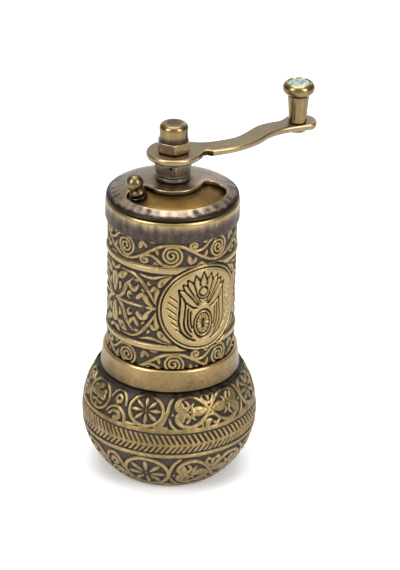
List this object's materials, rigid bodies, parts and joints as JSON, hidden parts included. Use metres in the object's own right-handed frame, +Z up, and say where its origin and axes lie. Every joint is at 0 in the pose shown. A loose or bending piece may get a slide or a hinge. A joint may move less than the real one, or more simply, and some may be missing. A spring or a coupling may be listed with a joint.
{
  "type": "hand-cranked spice mill",
  "caption": "Hand-cranked brass mill: bulb bowl, ornamented barrel, domed cover with shuttered filling slot, conical burrs on a through shaft, curved crank with a turning grip.",
  "frame": {"origin": "on the mill's axis, at the underside of the bowl", "axes": "+Z up along the shaft, -Y towards the filling slot, +X roughly towards the crank's grip"},
  "size_m": [0.0628, 0.0502, 0.1056],
  "materials": {
    "bowl_brass": "antiqued, worn on the high places, dark in the carving",
    "barrel_brass": "antiqued, worn on the high places, dark in the carving",
    "cover_brass": "antiqued satin",
    "shutter_brass": "dull golden brown",
    "polished_brass": "antiqued and buffed",
    "crank_brass": "antiqued satin",
    "spacer_bronze": "dark cast pewter grey",
    "bearing_bronze": "machined",
    "plain_steel": "turned",
    "spring_steel": "oiled spring steel",
    "burr_iron": "hardened, ground teeth",
    "pearl": "pearly green-white"
  },
  "bodies": {
    "chamber": {"chamber_bowl": "bowl_brass"},
    "barrel": {"barrel": "barrel_brass", "top_cover": "cover_brass", "cover_bush": "spacer_bronze", "shutter_spring_washer": "spring_steel", "shutter_retainer_ring": "spring_steel", "bridge_spider": "plain_steel", "bridge_bush": "bearing_bronze", "bridge_screw_1": "plain_steel", "bridge_screw_2": "plain_steel", "bridge_screw_3": "plain_steel", "outer_burr": "burr_iron"},
    "shutter": {"shutter_plate": "shutter_brass", "shutter_button": "polished_brass"},
    "drive": {"drive_shaft": "plain_steel", "shaft_circlip": "spring_steel", "shaft_end_clip": "spring_steel", "spacer_collar": "spacer_bronze", "crank_arm": "crank_brass", "cap_nut": "polished_brass", "grip_pin": "plain_steel", "burr_spring": "spring_steel", "spring_seat_washer": "plain_steel"},
    "grip": {"grip_body": "polished_brass", "grip_inlay": "pearl"},
    "burr": {"inner_burr": "burr_iron", "thrust_washer": "bearing_bronze"},
    "adjuster": {"adjuster_nut": "bearing_bronze"}
  },
  "joints": [
    {"name": "barrel_lift", "type": "slide", "parent": "chamber", "child": "barrel", "axis": [0, 0, 1], "range_m": [0, 0.05]},
    {"name": "shutter_turn", "type": "hinge", "parent": "barrel", "child": "shutter", "pos_m": [0, 0, 0.0849], "axis": [0, 0, 1], "range_deg": [0, 128]},
    {"name": "crank_turn", "type": "hinge", "parent": "barrel", "child": "drive", "pos_m": [0, 0, 0.087], "axis": [0, 0, 1], "continuous": true},
    {"name": "grip_spin", "type": "hinge", "parent": "drive", "child": "grip", "pos_m": [0.03346, 0.02042, 0.0941], "axis": [0, 0, 1], "continuous": true},
    {"name": "burr_slide", "type": "slide", "parent": "drive", "child": "burr", "axis": [0, 0, 1], "range_m": [-0.0016, 0], "deforming": ["burr_spring"]},
    {"name": "adjuster_turn", "type": "hinge", "parent": "burr", "child": "adjuster", "pos_m": [0, 0, 0.0222], "axis": [0, 0, 1], "range_deg": [0, 720]}
  ],
  "couplings": [
    {"joint": "adjuster_turn", "follows": "burr_slide", "rad_per_m": -7854}
  ]
}
